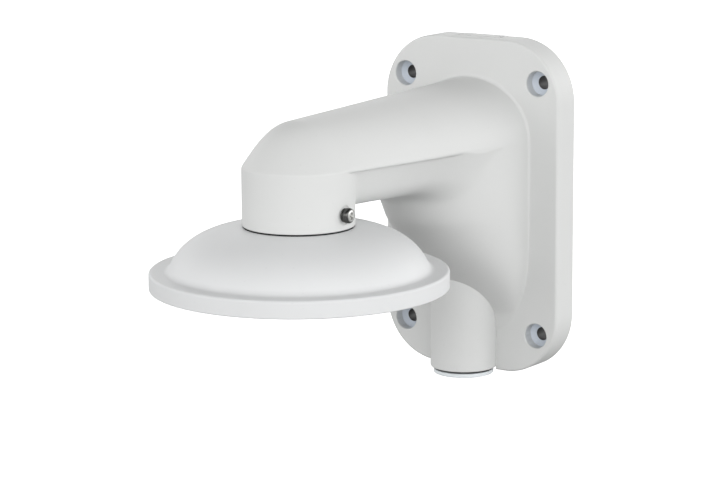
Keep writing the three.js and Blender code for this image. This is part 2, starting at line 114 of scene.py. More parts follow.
class CastingSizes(bpy.types.PropertyGroup):
    """The plate, the arm, the throat and the holes in the casting."""
    thickness: length("Plate thickness", "From the wall to the plate's front face", 12.4)
    corner: length("Plate corner", "Radius of the plate's corners", 24.2)
    plate_edge: length("Plate edge", "Rounding of the plate's front edge", 1.0)
    plate_wall: length("Plate wall", "Metal behind the plate's front face", 3.6)
    rim: length("Plate rim", "Width of the rim that lies on the wall", 6.5)
    arm_width: length("Arm half width", "Half of the arm's width where it leaves the plate", 27.3)
    crease_at_plate: length("Crease at the plate", "Height of the arm's widest line at the plate", 27.2)
    crease: length("Crease", "Height of the arm's widest line over the collar", 31)
    crease_round: length("Crease rounding", "Half of the width over which the crease is rounded", 0.5)
    top_at_plate: length("Top at the plate", "Height of the arm's top at the plate", 50.8)
    top: length("Top", "Height of the arm's top over the collar", 48)
    bottom_at_plate: length("Bottom at the plate", "Height of the arm's underside at the plate", 11.1)
    bottom: length("Bottom", "Height of the arm's underside beside the collar", 15.0)
    lip: length("Lip", "How far the arm's side is set back under the crease", 1.2)
    lip_end: length("Lip's end", "How far from the wall the lip has faded out", 40)
    lip_fade: length("Lip fade", "Length over which the lip fades out", 30)
    bead: length("Bead", "Radius of the round bead along the crease", 1.1)
    floor_round: length("Floor rounding", "Width of the arm's round lower corners", 7)
    arm_wall: length("Arm wall", "Thickness of the arm's wall", 3.5)
    slant_in: length("Slant in", "How far the elbow's slanted side leans in", 6.5)
    slant_up: length("Slant up", "How far up the elbow's slanted side goes", 9.9)
    root_fillet: length("Root fillet", "Fillet between the arm and the plate", 1.3)
    collar_fillet: length("Collar fillet", "Width of the fillet between the collar and the arm", 1.5)
    collar_edge: length("Collar edge", "Rounding of the collar's lower edge", 0.5)
    throat_curve: length("Throat curve", "Height over which the throat's foot rounds out", 39)
    throat_front: length("Throat front", "How far below the origin the throat's front line starts", 45.5)
    throat_foot: length("Throat foot", "How far below the origin the throat ends", 51)
    shoulder: length("Throat shoulder", "How far the throat reaches out at the origin's height", 44.8)
    throat_blend: length("Throat blend", "Width of the soft corner between the throat and the arm", 6)
    pipe: length("Pipe radius", "Outer radius of the conduit pipe", 13.3)
    pipe_thread: length("Pipe thread", "Radius of the conduit thread", 10.48)
    pipe_bore: length("Pipe bore", "Radius of the bore above the thread", 9)
    thread_depth: length("Thread depth", "How far up the conduit thread goes", 13)
    hole_x: length("Hole spacing, across", "Half of the distance between wall holes across", 30.9)
    hole_z: length("Hole spacing, up", "Half of the distance between wall holes up and down", 50.2)
    hole: length("Hole radius", "Radius of a wall hole", 2.6)
    counterbore: length("Counterbore radius", "Radius of a counterbore", 4.95)
    counterbore_depth: length("Counterbore depth", "Depth of a counterbore's wall", 4.4)
    seat_drop: length("Seat drop", "How much deeper a counterbore's seat is at its hole", 1.2)
    boss_wall: length("Boss wall", "Metal round a counterbore", 2.4)
    gasket_inset: length("Gasket inset", "From the plate's edge to the gasket's groove", 1.5)
    gasket_width: length("Gasket width", "Width of the gasket's groove", 2.2)
    gasket_depth: length("Gasket depth", "Depth of the gasket's groove", 1.5)


class CapSizes(bpy.types.PropertyGroup):
    """The pendant cap and its threaded neck."""
    rim_top: length("Rim top", "How far below the origin the rim's top lies", 6.9)
    rim_width: length("Rim width", "Width of the rim's lower face", 4.6)
    edge: length("Rim edge", "Rounding of the rim's upper edge", 1)
    wall: length("Wall", "Thickness of the dome's wall", 3)
    dome_foot: length("Dome foot", "Radius of the dome's foot", 47.2)
    dome_rise: length("Dome foot rise", "Height of the dome's foot over the rim", 1.9)
    fillet: length("Foot fillet", "Width of the hollow fillet at the dome's foot", 2.6)
    bore: length("Bore", "Radius of the cable way through the neck", 12.5)
    land: length("Land", "Radius of the plain land under the thread", 17)
    land_height: length("Land height", "Height of the land over the collar's lower edge", 9)
    thread: length("Neck thread", "Radius of the neck's thread", 16.6)
    pitch: length("Thread pitch", "Pitch of the neck's thread", 2.309)
    boss_circle: length("Boss circle", "Radius of the circle of camera bosses", 42.5)
    boss: length("Boss radius", "Radius of a camera boss", 4)
    boss_hole: length("Boss hole", "Radius of the tapped hole in a boss", 1.7)
    boss_hole_depth: length("Boss hole depth", "Depth of the tapped hole", 9)


class FittingSizes(bpy.types.PropertyGroup):
    """The plug, the blank, the washer and the lock screw."""
    plug_edge: length("Plug edge", "Rounding of the plug's flange", 0.45)
    plug_flange: length("Plug flange", "Thickness of the plug's flange", 1.65)
    hex_across: length("Hexagon", "Width of the plug's hexagon across its flats", 10)
    hex_depth: length("Hexagon depth", "Depth of the plug's hexagon", 6)
    pipe_pitch: length("Pipe thread pitch", "Pitch of the plug's thread", 1.814)
    blank_edge: length("Blank edge", "Rounding of the blank's edges", 0.35)
    slot_width: length("Slot width", "Width of a pry slot", 1.2)
    slot_length: length("Slot length", "Length of a pry slot", 3.8)
    slot_behind: length("Slot place", "From the blank's front to the middle of a slot", 2.4)
    head: length("Head height", "Height of the lock screw's head", 2.3)
    screw_thread: length("Screw thread", "Radius of the lock screw's thread", 1.45)
    screw_pitch: length("Screw pitch", "Pitch of the lock screw's thread", 0.5)
    recess: length("Recess depth", "Depth of the cross recess", 1.3)
    recess_width: length("Recess width", "Width of an arm of the cross recess", 0.75)
    spot_face: length("Spot face", "Radius of the flat under the washer", 3.6)
    spot_depth: length("Spot face depth", "Depth of the flat under the washer", 0.4)
    rubber_edge: length("Rubber edge", "Rounding of the rubber rings", 0.3)


class Finishes(bpy.types.PropertyGroup):
    """Colours and surface detail."""
    casting: colour("Casting", "Powder coat of the bracket", 0.686, 0.693, 0.685)
    cap: colour("Cap", "Powder coat of the cap", 0.754, 0.763, 0.767)
    # Painted cool light on the counterbore seats; at 0.72 it is the painted shade on the counterbore
    # walls.
    seat: colour("Counterbore seats", "Thin coat down in the counterbores", 0.64, 0.69, 0.76)
    rubber: colour("Rubber", "Seals and gaskets", 0.012, 0.012, 0.013)
    plug: colour("Plug", "Moulded plug", 0.79, 0.83, 0.85)
    steel: colour("Steel", "Screw and washer", 0.62, 0.62, 0.60)
    peel_depth: length("Peel depth", "Height of the powder coat's orange peel", 0.02)


class StageSettings(bpy.types.PropertyGroup):
    """Floor, lights and camera."""
    floor_drop: length("Floor drop", "How far below the origin the floor lies", 1300)
    floor_size: length("Floor size", "Width of the floor", 60000)
    sky: number("Sky", "Strength of the soft light all round", 2.92, min=0)
    key: number("Key light", "Power of the key light in watts", 1.5, min=0)
    fill: number("Fill light", "Power of the fill light in watts", 0.5, min=0)
    azimuth: tilt("Azimuth", "Camera's angle round the object", 35.34)
    elevation: tilt("Elevation", "Camera's angle above the horizon", 11.09)
    roll: tilt("Roll", "Camera's lean", -0.34)
    lens: number("Lens", "Focal length for a 36 mm sensor", 136.05, min=1)
    distance: length("Distance", "From the camera to the point that it looks at", 1053.5)
    aim_right: number("Aim, across", "Aim point beside the arm's middle", -22.13 * MM,
                      precision=5, unit="LENGTH")
    aim_up: number("Aim, up", "Aim point above the arm's middle", -8.36 * MM,
                   precision=5, unit="LENGTH")


# ---- modelling by hand ---------------------------------------------------------------------------
def deselect():
    bpy.ops.object.select_all(action="DESELECT")


def activate(piece):
    deselect()
    bpy.context.view_layer.objects.active = piece
    piece.select_set(True)


@contextmanager
def editing(piece):
    """The piece is in edit mode with nothing selected inside the block."""
    activate(piece)
    bpy.ops.object.mode_set(mode="EDIT")
    bpy.ops.mesh.select_mode(type="VERT")
    bpy.ops.mesh.select_all(action="DESELECT")
    yield
    bpy.ops.object.mode_set(mode="OBJECT")


def select(piece, kind, test):
    """In edit mode, selects the vertices, edges or faces that pass the test."""
    bpy.ops.mesh.select_mode(type=kind)
    bpy.ops.mesh.select_all(action="DESELECT")
    shape = bmesh.from_edit_mesh(piece.data)
    elements = {"VERT": shape.verts, "EDGE": shape.edges, "FACE": shape.faces}[kind]
    for element in elements:
        if test(element):
            element.select_set(True)
    shape.select_flush_mode()
    bmesh.update_edit_mesh(piece.data)


def primitive(name, add, **settings):
    """Adds a primitive with its place and size in its mesh."""
    deselect()
    add(**settings)
    piece = bpy.context.object
    piece.name = piece.data.name = name
    bpy.ops.object.transform_apply(location=True, rotation=True, scale=True)
    return piece


def block(name, low, high):
    low, high = Vector(low), Vector(high)
    return primitive(name, bpy.ops.mesh.primitive_cube_add, size=1,
                     location=(low + high) / 2, scale=high - low)


def modify(piece, kind, **settings):
    """Adds a modifier with these settings and applies it."""
    activate(piece)
    modifier = piece.modifiers.new(kind.title(), kind)
    for key, value in settings.items():
        setattr(modifier, key, value)
    bpy.ops.object.modifier_apply(modifier=modifier.name)


def combine(piece, operation, *others):
    """Joins the others to the piece or cuts them out of it, and removes them."""
    for other in others:
        modify(piece, "BOOLEAN", operation=operation, object=other, solver="MANIFOLD")
        bpy.data.objects.remove(other)
    return piece


def cut(piece, *others):
    return combine(piece, "DIFFERENCE", *others)


def join(piece, *others):
    return combine(piece, "UNION", *others)


def close_up(piece):
    """In edit mode, merges doubles and turns all faces outwards."""
    bpy.ops.mesh.select_all(action="SELECT")
    bpy.ops.mesh.remove_doubles(threshold=TIGHT)
    bpy.ops.mesh.normals_make_consistent(inside=False)


def turned(name, profile, centre=CAP_AXIS, axis=Z_AXIS, steps=96):
    """A profile of (radius, place along the axis) points, extruded point by point and spun."""
    radial = X_AXIS if axis is not X_AXIS else Y_AXIS
    points = [centre + radial * radius + axis * along for radius, along in profile]
    piece = primitive(name, bpy.ops.mesh.primitive_plane_add, size=MM)
    with editing(piece):
        bpy.ops.mesh.select_all(action="SELECT")
        bpy.ops.mesh.merge(type="CENTER")
        bpy.ops.transform.translate(value=points[0])
        for here, there in zip(points, points[1:]):
            bpy.ops.mesh.extrude_region_move(TRANSFORM_OT_translate={"value": there - here})
        bpy.ops.mesh.select_all(action="SELECT")
        bpy.ops.mesh.spin(steps=steps, angle=math.tau, center=centre, axis=axis)
        close_up(piece)
    return piece


def stack(*cylinders, tip=0.0):
    """A solid's profile from (radius, bottom, top) of its cylinders, with cones between them."""
    points = [(radius, along) for radius, *ends in cylinders for along in ends]
    return [(0, points[0][1]), *points, (0, points[-1][1] + tip)]


def rod(radius, bottom, top):
    return stack((radius, bottom, top))


def ring(inner, outer, bottom, top):
    return [(inner, bottom), (outer, bottom), (outer, top), (inner, top), (inner, bottom)]


def arc(centre, radius, start, end, steps=5):
    """Points on an arc, with its angles in quarter turns."""
    for step in range(steps + 1):
        angle = math.pi / 2 * (start + (end - start) * step / steps)
        yield centre[0] + radius * math.cos(angle), centre[1] + radius * math.sin(angle)


def rounded_ring(inner, outer, bottom, top, edge):
    """A ring's closed profile with round edges."""
    corners = [((inner + edge, bottom + edge), -2), ((outer - edge, bottom + edge), -1),
               ((outer - edge, top - edge), 0), ((inner + edge, top - edge), 1)]
    profile = [point for centre, start in corners for point in arc(centre, edge, start, start + 1)]
    return profile + profile[:1]


def moved(piece, matrix):
    piece.data.transform(matrix)
    return piece


def thread(name, radius, depth, pitch, bottom, top, place, outward=True):
    """A helical ridge whose crest lies at the radius, for joining to a rod or cutting in a bore.

    It is made about Z and then moved to its place.
    """
    sink = 0.3 * MM  # how deep its foot lies in the rod
    base = 0.42 * pitch  # half of the width of its foot
    crest = 0.08 * pitch  # half of the width of its crest
    foot = radius - depth - sink if outward else radius - sink
    tip = radius if outward else radius + depth
    section = [(foot, -base), (tip, -crest), (tip, crest), (foot, base)]
    piece = primitive(name, bpy.ops.mesh.primitive_plane_add, size=MM)
    with editing(piece):
        bpy.ops.mesh.select_all(action="SELECT")
        bpy.ops.mesh.delete(type="ONLY_FACE")
    for vertex, (radial, along) in zip(loop_order(piece), section):
        vertex.co = (radial, 0, along + bottom + base)
    turns = math.floor((top - bottom - 2 * base) / pitch)
    modify(piece, "SCREW", angle=math.tau, screw_offset=pitch, iterations=turns, steps=48,
           render_steps=48, use_merge_vertices=False)
    with editing(piece):
        bpy.ops.mesh.select_all(action="SELECT")
        bpy.ops.mesh.fill_holes(sides=4)
        close_up(piece)
    return moved(piece, place)


def loop_order(piece):
    """The vertices of a single closed loop of edges, in order."""
    neighbours = {}
    for edge in piece.data.edges:
        a, b = edge.vertices
        neighbours.setdefault(a, []).append(b)
        neighbours.setdefault(b, []).append(a)
    order = [0, neighbours[0][0]]
    while len(order) < len(piece.data.vertices):
        order.append(next(n for n in neighbours[order[-1]] if n != order[-2]))
    return [piece.data.vertices[index] for index in order]


SMOOTH_ANGLE = math.radians(30)


def finish(piece, material, body, slot, *nodes, angle=SMOOTH_ANGLE):
    """Smooths the piece, gives it its material and fixes it to its body."""
    with editing(piece):
        bpy.ops.mesh.select_all(action="SELECT")
        bpy.ops.mesh.remove_doubles(threshold=TIGHT)
    activate(piece)
    bpy.ops.object.shade_smooth_by_angle(angle=angle)
    modify(piece, "WEIGHTED_NORMAL", keep_sharp=True, weight=80)
    piece.data.materials.clear()
    piece.data.materials.append(material)
    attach(piece, body)
    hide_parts(*nodes)
    return piece


# ---- the shape of the arm ------------------------------------------------------------------------
def mix(a, b, t):
    return a + (b - a) * t


def clamp(value):
    return min(1.0, max(0.0, value))


def smooth(value):
    value = clamp(value)
    return value * value * (3 - 2 * value)


def cubic(p0, p1, p2, p3, t):
    s = 1 - t
    return tuple(s ** 3 * a + 3 * s * s * t * b + 3 * s * t * t * c + t ** 3 * d
                 for a, b, c, d in zip(p0, p1, p2, p3))


def soft_min(a, b, width):
    """The lower of a and b, with the corner between them rounded over the width."""
    if width <= 0:
        return min(a, b)
    near = max(0.0, width - abs(a - b)) / width
    return min(a, b) - near * near * width / 4


class ArmShape:
    """The arm and its throat, as sections across Y from the collar's axis to the plate."""

    SIDE_LEAN = 0.45  # how much the arm's side goes in for each step down
    THROAT_POWER = 2.6  # of the rounding of the throat's foot
    THROAT_SLOPE = 0.99  # of the throat's front
    TOE_SLOPE = 0.35  # of the throat's front at its foot
    SHOULDER_SLOPE = 0.69  # of the throat's shoulder
    CROWN = 0.435  # how wide the elbow's flat crown is
    BLEND_FROM, BLEND_OVER = 12 * MM, 30 * MM  # where the throat's soft corner with the arm grows
    TAPER_POWER = 0.8  # of how the elbow's section turns into the plate's
    COLLAR_DEPTH = 3 * MM  # how far the collar goes on below its lower edge, for cutting
    BELOW_OVER, BESIDE_OVER = 8 * MM, 6 * MM  # where the fillet between collar and arm grows
    SEARCH_STEPS = 24  # halvings, to find the underside
    BEAD_END = 0.14  # the angle under the crease at which its bead has ended

    def __init__(self, sizes, with_collar=True):
        self.sizes = sizes
        self.front = -sizes.thickness
        self.with_collar = with_collar

    def along(self, y):
        return clamp((y - AXIS_Y) / (self.front - AXIS_Y))

    def half_width(self, y):
        return mix(COLLAR_RADIUS, self.sizes.arm_width, self.along(y))

    def crease(self, y):
        return mix(self.sizes.crease, self.sizes.crease_at_plate, self.along(y))

    def upper_point(self, y, t):
        """The upper half from the crease to the top, as (x, height above the crease)."""
        width = self.half_width(y)
        height = mix(self.sizes.top, self.sizes.top_at_plate, self.along(y)) - self.crease(y)
        share = self.along(y) ** self.TAPER_POWER
        slant = (mix(width - self.sizes.slant_in, width, share),
                 mix(self.sizes.slant_up, ROUND * height, share))
        crown = (mix(self.CROWN, ROUND, share) * width, height)
        return cubic((width, 0), slant, crown, (0, height), t)

    def under_arm(self, x, y, z):
        """The arm's leaning sides, set back under a bead along the crease, and its floor."""
        sizes = self.sizes
        below = self.crease(y) - z
        kept = smooth((-y - sizes.lip_end) / sizes.lip_fade)
        side_x = self.half_width(y) - sizes.lip * kept - self.SIDE_LEAN * below
        side = (abs(x) - side_x) / math.hypot(1, self.SIDE_LEAN)
        floor = mix(sizes.bottom, sizes.bottom_at_plate, self.along(y)) - z
        bead = math.hypot(abs(x) - self.half_width(y) + sizes.bead, below) - sizes.bead * kept
        return min(-soft_min(-side, -floor, sizes.floor_round), bead)

    def in_throat(self, x, y, z):
        sizes = self.sizes
        share = clamp((sizes.throat_curve - sizes.throat_foot - z) / sizes.throat_curve)
        half = sizes.arm_width * (1 - share ** self.THROAT_POWER) ** (1 / self.THROAT_POWER)
        toe = self.TOE_SLOPE * (z + sizes.throat_foot)
        slope = max(self.THROAT_SLOPE * (z + sizes.throat_front), toe)
        front = min(slope, sizes.shoulder + self.SHOULDER_SLOPE * z)
        if half < TIGHT or front < TIGHT:
            return sizes.arm_width
        return (math.hypot(x / half, max(0.0, self.front - y) / front) - 1) * half

    def under_collar(self, x, y, z):
        return max(math.hypot(x, y - AXIS_Y) - COLLAR_RADIUS, COLLAR_BOTTOM - self.COLLAR_DEPTH - z)

    def underside(self, x, y, z):
        """Below zero inside the arm's lower half, its throat and the collar."""
        grown = smooth((self.front - y - self.BLEND_FROM) / self.BLEND_OVER)
        shape = soft_min(self.under_arm(x, y, z), self.in_throat(x, y, z),
                         self.sizes.throat_blend * grown)
        if not self.with_collar:
            return shape
        below = smooth((self.crease(y) - z) / self.BELOW_OVER)
        beside = smooth((y - AXIS_Y) / self.BESIDE_OVER)
        return soft_min(shape, self.under_collar(x, y, z),
                        self.sizes.collar_fillet * below * beside)

    def section_point(self, y, angle):
        """The section's point at y on its +X side, with the angle from straight down to straight up."""
        crease = self.crease(y)
        if angle >= 0:
            x, rise = self.upper_point(y, angle / (math.pi / 2))
            return x, crease + rise
        across, down = math.cos(angle), math.sin(angle)
        inside, outside = 0.0, 2 * PLATE_HALF_HEIGHT
        for _ in range(self.SEARCH_STEPS):
            middle = (inside + outside) / 2
            if self.underside(across * middle, y, crease + down * middle) < 0:
                inside = middle
            else:
                outside = middle
        return min(across * inside, self.half_width(y)), crease + down * inside

    def eased_point(self, y, angle):
        """The same point, with the crease rounded."""
        zone = self.sizes.crease_round / self.half_width(y)
        if abs(angle) >= zone:
            return self.section_point(y, angle)
        before, corner, after = (self.section_point(y, a) for a in (-zone, 0, zone))
        t = (angle + zone) / (2 * zone)
        return tuple((1 - t) ** 2 * a + 2 * t * (1 - t) * b + t * t * c
                     for a, b, c in zip(before, corner, after))

    def half_ring(self, below, bead, crease, above):
        """Angles from straight down to straight up, in as many steps below the bead, over it, over the
        rounded crease and above it."""
        zone, quarter = self.sizes.crease_round / COLLAR_RADIUS, math.pi / 2
        parts = ((-quarter, -self.BEAD_END, below), (-self.BEAD_END, -zone, bead),
                 (-zone, zone, crease), (zone, quarter, above))
        return [mix(start, end, step / count) for start, end, count in parts
                for step in range(count)] + [quarter]

    def point(self, y, angle, inset):
        """The same point, moved in towards the middle of the crease line by the inset."""
        x, z = self.eased_point(y, angle)
        out = math.hypot(x, z - self.crease(y))
        keep = max(0.0, out - inset) / out if out else 0
        return x * keep, self.crease(y) + (z - self.crease(y)) * keep


def spaced(start, end, step):
    """Evenly spaced values from start up to but not including end."""
    count = max(1, round(abs(end - start) / step))
    return [mix(start, end, i / count) for i in range(count)]


def loft(name, rows, row_point, angles):
    """A grid whose rows are closed rings. Each ring is two mirrored halves over the same angles."""
    around = angles + [math.pi - angle for angle in reversed(angles[:-1])]
    columns = len(around) - 1
    piece = primitive(name, bpy.ops.mesh.primitive_grid_add, x_subdivisions=columns,
                      y_subdivisions=len(rows) - 1, size=1)
    half = {}
    for vertex in piece.data.vertices:
        column = round((vertex.co.x + 0.5) * columns)
        row = round((vertex.co.y + 0.5) * (len(rows) - 1))
        mirrored = around[column] > math.pi / 2
        angle = math.pi - around[column] if mirrored else around[column]
        key = (row, round(angle, 6))
        if key not in half:
            half[key] = row_point(rows[row], angle)
        x, y, z = half[key]
        vertex.co = (-x if mirrored else x, y, z)
    with editing(piece):
        bpy.ops.mesh.select_all(action="SELECT")
        bpy.ops.mesh.remove_doubles(threshold=TIGHT)
        bpy.ops.mesh.dissolve_degenerate(threshold=TIGHT)
        bpy.ops.mesh.select_all(action="SELECT")
        bpy.ops.mesh.fill_holes(sides=0)
        close_up(piece)
    return piece


def arm_outside(sizes):
    """The arm, its throat, the collar's wall and the elbow over it, as one loft.

    Rows over the collar's far side are half planes turned about its axis, so that the elbow is a true
    turned shape. Rows lie close together beside the collar and in the fillet at the plate.
    """
    shape = ArmShape(sizes)
    front, fillet = shape.front, sizes.root_fillet
    near_collar = AXIS_Y + COLLAR_RADIUS
    fine_from, fine_to, near_plate = near_collar - 3 * MM, near_collar + 4 * MM, front - 18 * MM
    turns = [("turn", angle) for angle in spaced(math.pi / 2, 0, math.radians(3))]
    places = (spaced(AXIS_Y, fine_from, 1.2 * MM) + spaced(fine_from, fine_to, 0.35 * MM)
              + spaced(fine_to, near_plate, 1.5 * MM) + spaced(near_plate, front - fillet, 0.8 * MM))
    flare = [front - fillet * share for share in (1, 0.7, 0.45, 0.25, 0.12, 0.04, 0)]
    rows = turns + [("across", y) for y in places + flare + [front + OVERLAP]]

    def row_point(row, angle):
        kind, value = row
        if kind == "turn":
            radius, z = shape.eased_point(AXIS_Y, angle)
            return radius * math.cos(value), AXIS_Y - radius * math.sin(value), z
        gone = clamp((value - front) / fillet + 1)
        flared = fillet * (1 - math.sqrt(1 - gone * gone))
        x, z = shape.point(value, angle, -flared)
        return x, value, z

    angles = shape.half_ring(below=60, bead=12, crease=3, above=22)
    return loft("bracket_casting", rows, row_point, angles)


def arm_inside(sizes):
    """The hollow of the arm and the throat."""
    shape = ArmShape(sizes, with_collar=False)
    middle = (sizes.plate_wall - sizes.thickness) / 2  # of the pocket's depth
    lead = 0.7 * sizes.arm_wall  # keeps the slanted throat's wall

    def row_point(y, angle):
        x, z = shape.point(y - lead, angle, sizes.arm_wall)
        return x, y, z

    rows = spaced(AXIS_Y, middle, 3 * MM) + [middle]
    return loft("arm_hollow", rows, row_point, shape.half_ring(below=36, bead=3, crease=2, above=14))


# ---- the casting ---------------------------------------------------------------------------------
def slab(name, inset, back, front, sizes, edge=0.0, segments=20):
    """The plate's rounded outline moved in by inset, from y = back to y = front."""
    half_x, half_z = PLATE_HALF_WIDTH - inset, PLATE_HALF_HEIGHT - inset
    piece = block(name, (-half_x, front, -half_z), (half_x, back, half_z))
    with editing(piece):
        select(piece, "EDGE", lambda e: abs((e.verts[0].co - e.verts[1].co).y) > TIGHT)
        bpy.ops.mesh.bevel(offset=sizes.corner - inset, offset_type="OFFSET", segments=segments,
                           profile=0.5, clamp_overlap=False)
        if edge:
            select(piece, "EDGE", lambda e: all(abs(v.co.y - front) < TIGHT for v in e.verts))
            bpy.ops.mesh.bevel(offset=edge, segments=5, profile=0.5, clamp_overlap=False)
        close_up(piece)
    return piece


def groove(name, sizes, clear, bottom):
    """The gasket's outline as a closed band, clear of the groove's walls by the clearance."""
    outer = slab(name, sizes.gasket_inset + clear, OVERLAP if clear == 0 else 0, bottom, sizes)
    inner = slab("inner", sizes.gasket_inset + sizes.gasket_width - clear, 2 * OVERLAP,
                 bottom - OVERLAP, sizes)
    return cut(outer, inner)


def at_each_corner(sizes):
    for x in (-sizes.hole_x, sizes.hole_x):
        for z in (-sizes.hole_z, sizes.hole_z):
            yield Vector((x, 0, z))


def casting_hollow(sizes):
    """The plate's pocket, the hollow arm and the elbow, less the walls and bosses that stand in them."""
    front = -sizes.thickness
    hollow = slab("pocket", sizes.rim, OVERLAP, front + sizes.plate_wall, sizes)
    shape, count = ArmShape(sizes), 16
    crown = [shape.point(AXIS_Y, math.pi / 2 * step / count, sizes.arm_wall)
             for step in range(count + 1)]
    crown[-1] = (0, crown[-1][1])
    start = sizes.crease - OVERLAP
    elbow = turned("elbow", [(0, start), (crown[0][0], start), *crown], steps=64)
    join(hollow, arm_inside(sizes), elbow)

    beside, lower = 3 * MM, 2 * MM
    top_wall = block("top_wall", (blank_low.x - beside, front, blank_low.z + lower),
                     (blank_high.x + beside, 2 * OVERLAP, PLATE_HALF_HEIGHT + OVERLAP))
    pipe_wall = turned("pipe_wall", rod(sizes.pipe, PIPE_BOTTOM, OVERLAP - sizes.throat_foot), PIPE_AXIS)
    boss = rod(sizes.counterbore + sizes.boss_wall, front, 2 * OVERLAP)
    bosses = [turned("boss", boss, centre, Y_AXIS, steps=48) for centre in at_each_corner(sizes)]
    return cut(hollow, top_wall, pipe_wall, *bosses)


def casting(sizes, caps, fittings):
    """The arm with its plate and its pipe, then the hollow, the openings, the holes and the threads."""
    front = -sizes.thickness
    body = arm_outside(sizes)
    plate = slab("plate", 0, 0, front, sizes, sizes.plate_edge, segments=32)
    flange_seat = rod(sizes.pipe, -2 * PLATE_HALF_HEIGHT, PIPE_BOTTOM)
    cut(plate, turned("flange_seat", flange_seat, PIPE_AXIS))
    edge = 0.5 * MM
    pipe = turned("pipe", [(0, PIPE_BOTTOM), *arc((sizes.pipe - edge, PIPE_BOTTOM + edge), edge, -1, 0),
                           (sizes.pipe, 0), (0, 0)], PIPE_AXIS)
    join(body, plate, pipe)
    cut(body, casting_hollow(sizes))

    neck_radius = caps.thread + RUN_GAP
    land_top = COLLAR_BOTTOM + caps.land_height + RUN_GAP
    bore = turned("bore", stack((caps.land + RUN_GAP, COLLAR_BOTTOM - 4 * MM, land_top),
                                (neck_radius, land_top + 0.3 * MM, sizes.crease)))
    lip, around, under = sizes.collar_edge, COLLAR_RADIUS + 0.3 * MM, COLLAR_BOTTOM - 8 * MM
    below_collar = turned("below_collar", [
        (0, under), (around, under), (around, COLLAR_BOTTOM + lip),
        *arc((COLLAR_RADIUS - lip, COLLAR_BOTTOM + lip), lip, 0, -1, 4), (0, COLLAR_BOTTOM)], steps=120)
    lead_in, cone, above_foot = 0.6 * MM, 1.5 * MM, 8 * MM
    thread_top = PIPE_BOTTOM + sizes.thread_depth
    conduit = turned("conduit", stack(
        (sizes.pipe_thread + lead_in, PIPE_BOTTOM - OVERLAP, PIPE_BOTTOM),
        (sizes.pipe_thread, PIPE_BOTTOM + lead_in, thread_top),
        (sizes.pipe_bore, thread_top + cone, above_foot - sizes.throat_foot)), PIPE_AXIS)
    cut(body, below_collar, bore, conduit)

    soft, counterbore_end = 0.3 * MM, front + sizes.counterbore_depth
    hole = stack((sizes.counterbore + soft, front - OVERLAP, front),
                 (sizes.counterbore, front + soft, counterbore_end),
                 (sizes.hole, counterbore_end + sizes.seat_drop, OVERLAP))
    for centre in at_each_corner(sizes):
        cut(body, turned("hole", hole, centre, Y_AXIS, steps=48))
    notch = block("notch", (blank_low.x - RUN_GAP, blank_low.y - RUN_GAP, blank_low.z - RUN_GAP),
                  (blank_high.x + RUN_GAP, OVERLAP, PLATE_HALF_HEIGHT + 5 * MM))
    cut(body, groove("groove", sizes, 0, -sizes.gasket_depth), notch)

    spot_x, outside = COLLAR_RADIUS - fittings.spot_depth, COLLAR_RADIUS + 2 * MM
    screw_way = stack((fittings.screw_thread + RUN_GAP, neck_radius - OVERLAP, spot_x),
                      (fittings.spot_face, spot_x, outside))
    cut(body, turned("screw_way", screw_way, SCREW_AXIS, X_AXIS, steps=48))

    neck_ridge = thread("neck_ridge", neck_radius, 0.384 * caps.pitch, caps.pitch, land_top + 1 * MM,
                        sizes.crease - 2 * MM, Matrix.Translation(CAP_AXIS), outward=False)
    pipe_ridge = thread("pipe_ridge", sizes.pipe_thread, 0.6 * MM, fittings.pipe_pitch,
                        PIPE_BOTTOM + 0.7 * MM, thread_top, Matrix.Translation(PIPE_AXIS), outward=False)
    return cut(body, neck_ridge, pipe_ridge)


# ---- shader nodes --------------------------------------------------------------------------------
class Wire:
    """An output socket. Arithmetic on it adds Math nodes."""

    def __init__(self, tree, socket):
        self.tree, self.socket = tree, socket

    def math(self, operation, *values):
        return self.tree.add("ShaderNodeMath", {"operation": operation}, dict(enumerate(values)))

    def __add__(self, other):
        return self.math("ADD", self, other)

    def __sub__(self, other):
        return self.math("SUBTRACT", self, other)

    def __rsub__(self, other):
        return self.math("SUBTRACT", other, self)

    def __mul__(self, other):
        return self.math("MULTIPLY", self, other)

    def __pow__(self, other):
        return self.math("POWER", self, other)

    def __abs__(self):
        return self.math("ABSOLUTE", self)

    __radd__ = __add__
    __rmul__ = __mul__

    def step(self, start, end):
        """From 0 at start to 1 at end, held outside them."""
        return self.tree.add("ShaderNodeMapRange", {"interpolation_type": "SMOOTHSTEP"},
                             {0: self, 1: start, 2: end, 3: 0.0, 4: 1.0})


